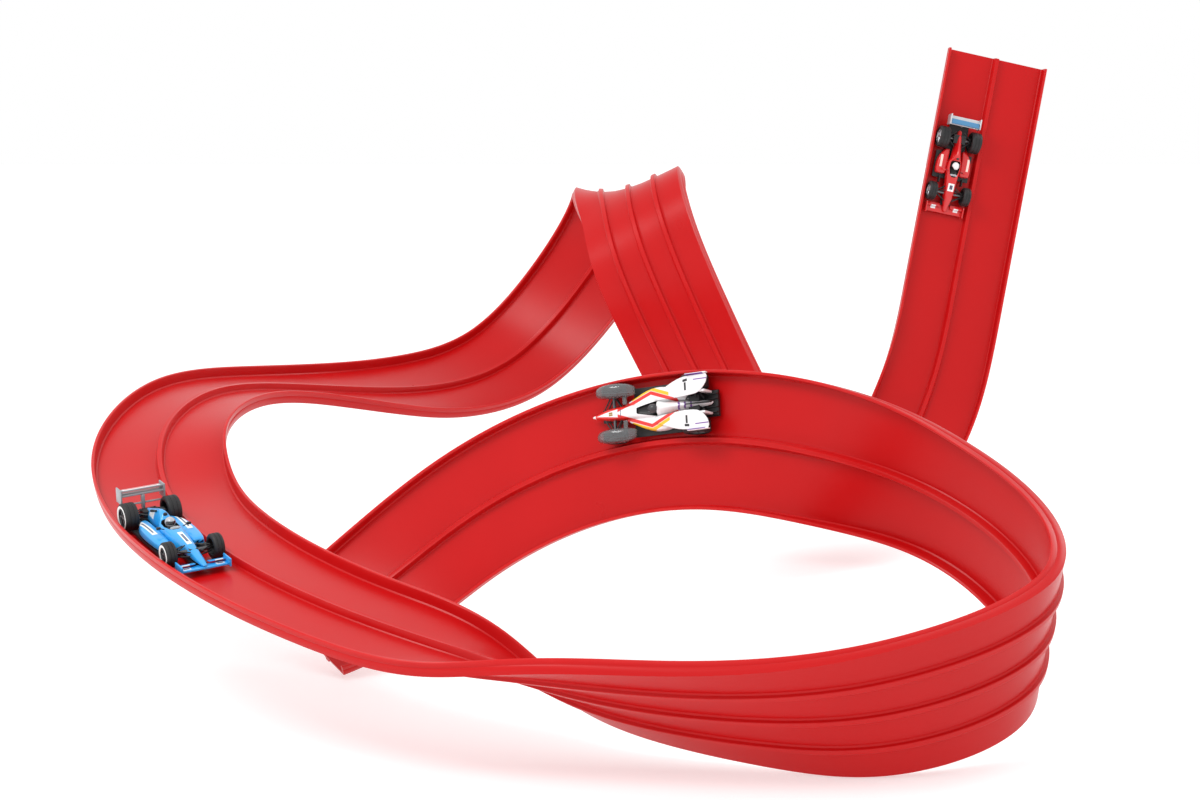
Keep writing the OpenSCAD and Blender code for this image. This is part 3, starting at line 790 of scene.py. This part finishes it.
whitePaint = makeMaterial("whitePaint", (0.84, 0.84, 0.85), 0.28, coat=0.5, uneven=0.04, place=whitePlace,
                          decals=[
    {"color": (0.75, 0.02, 0.015), "x": (-17, 24), "y": (8.8, 11.2), "fold": (1, 0.36)},
    {"color": (0.9, 0.52, 0.01), "x": (-13, 15), "y": (11.3, 13.6), "fold": (1, 0.36)},
    {"color": (0.75, 0.02, 0.015), "x": (17, 42), "y": (5.9, 12), "slope": 0.145},
    {"color": purple, "x": (-20.8, -19.4), "y": (0, 2.6), "skew": -0.8, "z": (11, 30)},
    {"color": purple, "x": (-24.4, -23.1), "y": (0, 2.3), "skew": -0.8, "z": (11, 30)},
    {"color": purple, "x": (-28.0, -26.9), "y": (0, 2.0), "skew": -0.8, "z": (9, 30)},
    {"color": purple, "x": (-39, -25), "y": (15.9, 16.9), "z": (17, 30)},
    {"color": purple, "x": (-41, -32), "y": (12.9, 13.7), "z": (17, 30)},
    {"color": (0.01, 0.01, 0.012), "x": (-28, -24.5), "y": (9.5, 11.2), "slope": 0.12, "z": (16, 30)},
    {"color": (0.01, 0.01, 0.012), "x": (-27, -25.4), "y": (7.4, 12.4), "z": (16, 30)},
    {"color": (0.35, 0.2, 0.03), "x": (27.5, 30.5), "y": (0, 1.2), "z": (8, 30)},
    {"color": navy, "x": (21.5, 22.1), "y": (0, 2.4), "z": (8, 30)}])
silverPaint = makeMaterial("silverPaint", (0.6, 0.61, 0.64), 0.32, metallic=0.7)
wingGrey = makeMaterial("wingGrey", (0.28, 0.29, 0.31), 0.35, coat=0.2, place=bluePlace, decals=[
    {"color": paper, "x": (-49, -44), "y": (-1, 11.5), "z": (19, 24)},
    {"color": (0.6, 0.02, 0.02), "x": (-48, -46), "y": (-1, 10.5), "z": (19, 24)}])
smokePods = makeMaterial("smokePods", (0.13, 0.135, 0.14), 0.14, coat=0.8, alpha=0.62)
helmetGrey = makeMaterial("helmetGrey", (0.42, 0.43, 0.46), 0.2, coat=0.6)
helmetWhite = makeMaterial("helmetWhite", (0.82, 0.82, 0.82), 0.2, coat=0.6)
wingBlue = makeMaterial("wingBlue", (0.06, 0.22, 0.42), 0.3, coat=0.3)


def makeWing(name, low, high, ends, bevel=0.35, camber=6):
    # a lifting plane with two end plates
    plane = bevelledBox(name + "Plane", low, high, bevel, camber)
    plates = [bevelledBox(name + "End", (ends[0], s * ends[2] - 0.5, ends[3]),
                          (ends[1], s * ends[2] + 0.5, ends[4]), 0.35)
              for s in (-1, 1)]
    return [plane] + plates


# ---- blue car ----
blueCar = {
    "hull": [(53, 1.0, 4.7, 5.8, 2.2, 0.9), (50, 2.0, 4.4, 6.6, 2.4, 0.9), (42, 3.0, 4.3, 8.4, 2.6, 0.85),
             (33, 3.9, 4.3, 10.6, 2.8, 0.82), (24, 4.8, 4.3, 12.0, 3, 0.8), (14, 6.0, 4.3, 12.9, 3, 0.82),
             (9, 6.4, 4.3, 13.2, 3, 0.86), (5, 6.5, 4.3, 13.3, 3, 0.88), (0, 6.5, 4.3, 13.4, 3, 0.88),
             (-5, 6.4, 4.3, 13.8, 3, 0.86), (-7, 5.6, 4.3, 16.4, 2.6, 0.62), (-9, 5.0, 4.3, 18.3, 2.4, 0.55),
             (-14, 4.6, 4.3, 18.1, 2.3, 0.5), (-20, 4.2, 4.3, 16.4, 2.3, 0.45),
             (-27, 3.6, 4.4, 14.0, 2.3, 0.45),
             (-35, 2.8, 5.2, 11.8, 2.4, 0.6), (-40, 2.0, 6.2, 10.6, 2.4, 0.7)],
    "pods": [(19, 3.0, 4.3, 8.0, 0.9, -0.8), (17.5, 4.2, 4.3, 9.0, 0.9, -0.3), (8, 5.0, 4.3, 9.8, 0.88, 0),
             (-8, 5.2, 4.3, 10.6, 0.86, 0), (-16, 4.4, 4.3, 10.2, 0.82, -0.8), (-22, 2.8, 4.3, 9.4, 0.8, -2.6),
             (-25, 1.4, 4.4, 8.6, 0.8, -3.6)],
    "podMiddle": 10.4,
    "helmet": {"x": 0, "z": 14.2, "size": 6.4, "seat": 9.8},
    "wheels": {"ring": True, "spokes": 6},
}
hull = loft("blueHull", blueCar["hull"])
hull.data.materials.append(bluePaint)
hull.data.materials.append(blackPlastic)
cutCockpit(hull, [(9.6, 1.8, 10.6, 20, 2.4, 1), (7.5, 3.6, 10.2, 20, 2.6, 1), (2, 4.6, 9.8, 20, 3, 1),
                  (-3.6, 4.4, 9.8, 20, 3, 1),
                   (-5.2, 3.4, 10.2, 20, 3, 1)])
finishShell(hull, bluePaint, blackPlastic, bluePlace, "blue_car", ["blue_shell"])
makePods("blue", blueCar["pods"], blueCar["podMiddle"], bluePlace, bluePaint, "blue_car")
makeHelmet("blue", blueCar["helmet"], bluePlace, helmetGrey, "blue_car")
blueWheels = dict(blueCar["wheels"], rim=rimDark)
makeWheelset("blue", "front", 33, 15, 6.5, blueWheels, bluePlace)
makeWheelset("blue", "rear", -33, 17, 8.5, blueWheels, bluePlace)
makeSuspension("blue", 33, 8, "blue_car", bluePlace)
makeSuspension("blue", -33, 9, "blue_car", bluePlace, 9.4)
nose = makeWing("blueNoseWing", (46, -13.9, 3.0), (53, 13.9, 4.3), (44.2, 54.8, 14.4, 2.8, 7.6))
nose += [bevelledBox("flap", (44.6, s * 9 - 4.9, 5.0), (48.2, s * 9 + 4.9, 5.7), 0.25, 14) for s in (-1, 1)]
finishPiece(joinPieces("blueNoseWing", nose), bluePaint, bluePlace, "blue_car",
            ["blue_nose_wing"])
tail = makeWing("blueTailWing", (-50, -13, 17.2), (-43, 13, 18.5), (-51, -42.6, 13.4, 13, 22), camber=7)
tail += [bevelledBox("flap", (-49.6, -13, 20.0), (-43.4, 13, 21.0), 0.3, 12),
         bevelledBox("pylon", (-45.4, -0.9, 9), (-42.2, 0.9, 17.6), 0.4),
         bevelledBox("beam", (-44.5, -11, 12.2), (-42.8, 11, 12.9), 0.25)]
finishPiece(joinPieces("blueTailWing", tail), wingGrey, bluePlace, "blue_car", ["blue_tail_wing"])
trim = [rod("mirrorStem", (5, s * 5.6, 12.4), (5.4, s * 8.6, 13.6), 0.3) for s in (-1, 1)]
trim += [bevelledBox("mirror", (4.6, s * 9.2 - 1.3, 13.0), (6.2, s * 9.2 + 1.3, 14.5), 0.4) for s in (-1, 1)]
trim += [bevelledBox("slot", (-23.2 + k * 2.2, s * 2.6 - 0.75, 13.6 + k * 0.75),
                     (-22.2 + k * 2.2, s * 2.6 + 0.75, 15.0 + k * 0.6), 0.15)
         for k in range(4) for s in (-1, 1)]
trim += [loft("airIntake", [(-6.4, 1.5, 15.6, 17.6, 2.6, 0.8), (-8.4, 1.7, 15.4, 18.0, 2.6, 0.8)], 16)]
finishPiece(joinPieces("blueTrim", trim), blackPlastic, bluePlace, "blue_car")
screen = loft("blueScreen", [(8.6, 3.9, 12.6, 13.4, 2.4, 0.8), (7.0, 4.0, 12.8, 14.8, 2.4, 0.8)], 20)
finishPiece(screen, glassClear, bluePlace, "blue_car")
print("blue car made")

# ---- white car ----
whiteCar = {
    "hull": [(45, 0.5, 4.9, 5.7, 2, 0.9), (42, 1.3, 4.5, 7.0, 2.2, 0.8), (36, 2.8, 4.3, 9.4, 2.6, 0.8),
             (32, 4.1, 4.3, 11.2, 3.2, 0.85), (24, 4.6, 4.3, 12.2, 3.2, 0.85), (18, 4.9, 4.3, 12.4, 3, 0.8),
             (11, 5.6, 4.3, 12.3, 3, 0.7),
             (7, 6.0, 4.3, 12.7, 3, 0.75), (2, 6.1, 4.3, 12.9, 3, 0.78), (-4, 6.0, 4.3, 13.2, 3, 0.78),
             (-6, 5.4, 4.3, 15.2, 2.6, 0.6), (-8, 5.0, 4.3, 16.4, 2.4, 0.5), (-14, 4.6, 4.3, 16.2, 2.3, 0.42),
             (-22, 3.8, 4.3, 14.8, 2.3, 0.4), (-30, 2.8, 5, 12.8, 2.3, 0.45), (-40, 1.4, 6.4, 11.2, 2.3, 0.5)],
    "pods": [(23, 0.8, 4.3, 8.4, 0.9, -6.9), (16, 2.0, 4.3, 9.4, 0.9, -5.2), (10, 3.6, 4.3, 10.2, 0.88, -3.6),
             (4, 4.9, 4.3, 10.8, 0.86, -2.3), (-2, 5.5, 4.3, 11.2, 0.86, -1.7),
             (-8, 5.3, 4.3, 11.4, 0.86, -1.9),
             (-14, 4.5, 4.3, 11.4, 0.84, -2.7), (-18, 2.7, 4.3, 11.0, 0.84, -4.5),
             (-25, 1.6, 4.4, 10.2, 0.84, -5.8)],
    "podMiddle": 10.2,
    "helmet": {"x": -1, "z": 12.8, "size": 6.0, "seat": 9.6},
    "wheels": {"ring": False, "spokes": 5},
}
hull = loft("whiteHull", whiteCar["hull"])
hull.data.materials.append(whitePaint)
hull.data.materials.append(blackPlastic)
cutCockpit(hull, [(10.6, 1.6, 10.2, 20, 5, 1), (9.8, 2.0, 9.8, 20, 5, 1), (-2.6, 4.7, 9.4, 20, 5, 1),
                  (-3.6, 4.6, 9.8, 20, 5, 1)])
finishShell(hull, whitePaint, blackPlastic, whitePlace, "white_car", ["white_shell"])
makePods("white", whiteCar["pods"], whiteCar["podMiddle"], whitePlace, whitePaint, "white_car")
makeHelmet("white", whiteCar["helmet"], whitePlace, rimDark, "white_car")
whiteWheels = dict(whiteCar["wheels"], rim=rimDark)
makeWheelset("white", "front", 28, 15, 6.5, whiteWheels, whitePlace)
makeWheelset("white", "rear", -28, 17, 8.5, whiteWheels, whitePlace)
makeSuspension("white", 28, 8, "white_car", whitePlace)
makeSuspension("white", -28, 9, "white_car", whitePlace, 9.4)
dome = loft("dome", [(40, 1.0, 6, 9, 2.2, 1, 13.7), (38.5, 2.6, 6, 12.6, 2.4, 1, 13.7),
                     (35, 3.9, 6, 15.6, 2.6, 1, 13.7),
                     (28, 4.6, 6, 17.6, 2.8, 1, 13.7), (21, 4.5, 6, 16.2, 2.8, 1, 13.7),
                     (15, 3.8, 6, 13.2, 2.6, 1, 13.4),
                     (11, 2.2, 6, 10.8, 2.4, 1, 12.8)], 32)
editAll(dome)
pickFaces(dome, lambda c, n: c.z < 10.3)
bpy.ops.mesh.delete(type="FACE")
bpy.ops.object.mode_set(mode="OBJECT")
addModifier(dome, "SOLIDIFY", thickness=0.5 * mm, offset=-1)
guards = [dome, mirrored(dome, "domeRight")]
guards += [bevelledBox("stay", (17.6, side * 10.9 - 6.1, 10.5), (20.3, side * 10.9 + 6.1, 11.9), 0.4)
           for side in (-1, 1)]
finishPiece(joinPieces("whiteWheelGuards", guards), smokePods, whitePlace, "white_car",
            ["white_wheel_pods"])
wingSpan = [(0, 5, 8.5, 10.9), (-8, 4.6, 11, 12.5), (-14, 4.4, 13.4, 14.6), (-20, 4.2, 15.2, 16.8),
            (-26, 4.2, 16, 18.6),
            (-31, 4.6, 16.4, 18.9), (-36, 5.2, 16.8, 19.1), (-41.5, 12, 17, 19.3)]
plate = loft("wingPlate", [(x, (outer - inside) / 2, z - 0.45, z + 0.45, 7, 1, (outer + inside) / 2)
                           for x, inside, outer, z in wingSpan], 24)
wings = [plate, mirrored(plate, "wingPlateRight")]
for side in (-1, 1):
    wings += [bevelledBox("pylon", (-38.5, side * 6.5 - 0.7, 7.5), (-34.5, side * 6.5 + 0.7, 18.6), 0.35),
              bevelledBox("endPlate", (-41, side * 16.8 - 0.35, 17.6), (-27, side * 16.8 + 0.35, 20.9), 0.3)]
finishPiece(joinPieces("whiteTailWings", wings), whitePaint, whitePlace, "white_car",
            ["white_tail_wings"])
trim = [bevelledBox("diffuser", (-41, -7.5, 4.4), (-33, 7.5, 5.2), 0.3),
        bevelledBox("fin", (-40, -0.4, 11), (-20, 0.4, 14.4), 0.3)]
trim += [bevelledBox("strake", (-41, s * k - 0.3, 4.6), (-34, s * k + 0.3, 7.4), 0.2) for s in (-1, 1)
         for k in (2.5, 5.5)]
finishPiece(joinPieces("whiteTrim", trim), blackPlastic, whitePlace, "white_car")
print("white car made")

# ---- red car ----
redCar = {
    "hull": [(37, 1.2, 4.6, 6.0, 2.2, 0.9), (34, 2.0, 4.4, 6.8, 2.4, 0.9), (29, 3.2, 4.3, 9.4, 2.8, 0.85),
             (26, 4.2, 4.3, 11.2, 3.2, 0.88), (18, 4.7, 4.3, 12.1, 3.2, 0.88), (14, 4.9, 4.3, 12.2, 3, 0.84),
             (9, 5.6, 4.3, 12.2, 3, 0.82),
             (5, 6.2, 4.3, 12.6, 3, 0.84), (0, 6.3, 4.3, 12.7, 3, 0.86), (-4, 6.1, 4.3, 13.2, 3, 0.84),
             (-5.4, 5.4, 4.3, 15.6, 2.6, 0.6), (-7, 4.8, 4.3, 17.2, 2.4, 0.52),
             (-12, 4.3, 4.3, 16.4, 2.3, 0.48),
             (-18, 3.6, 4.3, 14.2, 2.3, 0.45), (-25, 2.6, 5.2, 11.6, 2.4, 0.6),
             (-30, 1.8, 6.2, 10.4, 2.4, 0.7)],
    "pods": [(7, 3.8, 4.3, 8.6, 0.9, 0), (6, 4.5, 4.3, 9.0, 0.9, 0), (1, 4.9, 4.3, 9.6, 0.88, 0),
             (-6, 4.6, 4.3, 10.0, 0.86, -0.3), (-11, 3.2, 4.3, 9.4, 0.82, -2.0),
             (-14, 1.6, 4.4, 8.6, 0.8, -3.4)],
    "podMiddle": 10.0,
    "helmet": {"x": 0, "z": 13.6, "size": 6.0, "seat": 9.8},
    "wheels": {"ring": False, "spokes": 5},
}
hull = loft("redHull", redCar["hull"])
hull.data.materials.append(redPaint)
hull.data.materials.append(blackPlastic)
cutCockpit(hull, [(9.0, 1.6, 10.2, 20, 2.4, 1), (7, 3.4, 9.8, 20, 2.6, 1), (2, 4.4, 9.4, 20, 3, 1),
                  (-2.8, 4.2, 9.4, 20, 3, 1),
                   (-4.2, 3.2, 9.8, 20, 3, 1)])
finishShell(hull, redPaint, blackPlastic, redPlace, "red_car", ["red_shell"])
makePods("red", redCar["pods"], redCar["podMiddle"], redPlace, redPaint, "red_car")
makeHelmet("red", redCar["helmet"], redPlace, helmetWhite, "red_car")
redWheels = dict(redCar["wheels"], rim=rimSilver)
makeWheelset("red", "front", 22, 15, 6.5, redWheels, redPlace)
makeWheelset("red", "rear", -22, 17, 8.5, redWheels, redPlace)
makeSuspension("red", 22, 8, "red_car", redPlace)
makeSuspension("red", -22, 9, "red_car", redPlace, 9.4)
nose = makeWing("redNoseWing", (31.4, -14.9, 3.0), (38, 14.9, 4.2), (30.6, 39.2, 15.4, 2.8, 6.9))
nose += [bevelledBox("flap", (30.4, s * 9.5 - 5.2, 4.8), (33.6, s * 9.5 + 5.2, 5.5), 0.25, 14) for s in (-1, 1)]
finishPiece(joinPieces("redNoseWing", nose), redPaint, redPlace, "red_car", ["red_nose_wing"])
tail = makeWing("redTailWing", (-39, -12, 16.1), (-31.8, 12, 17.4), (-40, -31.6, 12.4, 11, 20), camber=7)
tail += [bevelledBox("pylon", (-35.6, -0.9, 8), (-32.4, 0.9, 16.4), 0.4)]
finishPiece(joinPieces("redTailWing", tail), silverPaint, redPlace, "red_car", ["red_tail_wing"])
insert = bevelledBox("redTailFlap", (-36.4, -11.6, 18.2), (-32.4, 11.6, 19.2), 0.3, 14)
finishPiece(insert, wingBlue, redPlace, "red_car")
trim = [bevelledBox("bargeBoard", (8.6, s * 9.6 - 0.4, 3.2), (14.2, s * 9.6 + 0.4, 8.2), 0.3) for s in (-1, 1)]
trim += [rod("mirrorStem", (4, s * 5.4, 11.8), (4.4, s * 8.0, 13.0), 0.3) for s in (-1, 1)]
trim += [loft("airIntake", [(-4.9, 1.4, 14.6, 16.6, 2.6, 0.8), (-6.8, 1.6, 14.4, 17.0, 2.6, 0.8)], 16)]
finishPiece(joinPieces("redTrim", trim), blackPlastic, redPlace, "red_car")
mirrors = [bevelledBox("mirror", (3.6, s * 8.6 - 1.3, 12.4), (5.0, s * 8.6 + 1.3, 13.8), 0.4) for s in (-1, 1)]
finishPiece(joinPieces("redMirrors", mirrors), redPaint, redPlace, "red_car")
screen = loft("redScreen", [(8.2, 3.7, 12.0, 12.8, 2.4, 0.8), (6.4, 3.8, 12.2, 14.2, 2.4, 0.8)], 20)
finishPiece(screen, glassClear, redPlace, "red_car")
print("red car made")

for car in ("blue", "white", "red"):
    floor = frame["nodes"][car + "_floor"]
    floor.data.materials.clear()
    floor.data.materials.append(blackPlastic)

# ---- floor, light and camera ----
studio = {"floorColor": (0.62, 0.62, 0.62), "world": 1.0, "key": 15, "rim": 5, "floorGlow": 0.5, "lens": 69,
          "eye": (-0.02033, -1.50283, 0.33963), "tilt": 83}
clearSelection()
bpy.ops.mesh.primitive_plane_add(size=30, location=(0, 0, -0.0005))
floor = bpy.context.object
floor.name = "studioFloor"
floorMaterial = bpy.data.materials.new("studioFloor")
floorMaterial.use_nodes = True
shader = floorMaterial.node_tree.nodes["Principled BSDF"]
shader.inputs["Base Color"].default_value = (*studio["floorColor"], 1)
shader.inputs["Roughness"].default_value = 0.6
shader.inputs["Emission Color"].default_value = (1, 1, 1, 1)
shader.inputs["Emission Strength"].default_value = studio["floorGlow"]
floor.data.materials.append(floorMaterial)

world = bpy.data.worlds.new("studio")
bpy.context.scene.world = world
world.use_nodes = True
world.node_tree.nodes["Background"].inputs["Color"].default_value = (1, 1, 1, 1)
world.node_tree.nodes["Background"].inputs["Strength"].default_value = studio["world"]


def addLight(name, spot, aim, size, power):
    light = bpy.data.lights.new(name, "AREA")
    light.shape = "RECTANGLE"
    light.size, light.size_y = size
    light.energy = power
    lamp = bpy.data.objects.new(name, light)
    bpy.context.scene.collection.objects.link(lamp)
    lamp.location = spot
    lamp.rotation_euler = (Vector(aim) - Vector(spot)).to_track_quat("-Z", "Y").to_euler()
    return lamp


addLight("keyLight", (-0.9, -0.9, 1.5), (0, 0, 0.15), (0.9, 0.6), studio["key"])
addLight("rimLight", (1.2, 0.6, 1.1), (0, 0, 0.15), (0.5, 0.9), studio["rim"])

camera = bpy.data.cameras.new("camera")
camera.lens = studio["lens"]
camera.sensor_width = 36
camera.clip_start, camera.clip_end = 0.05, 60
cameraObject = bpy.data.objects.new("camera", camera)
bpy.context.scene.collection.objects.link(cameraObject)
cameraObject.location = studio["eye"]
cameraObject.rotation_euler = (math.radians(studio["tilt"]), 0, 0)
bpy.context.scene.camera = cameraObject
bpy.context.scene.view_settings.view_transform = "Standard"
print("studio made")
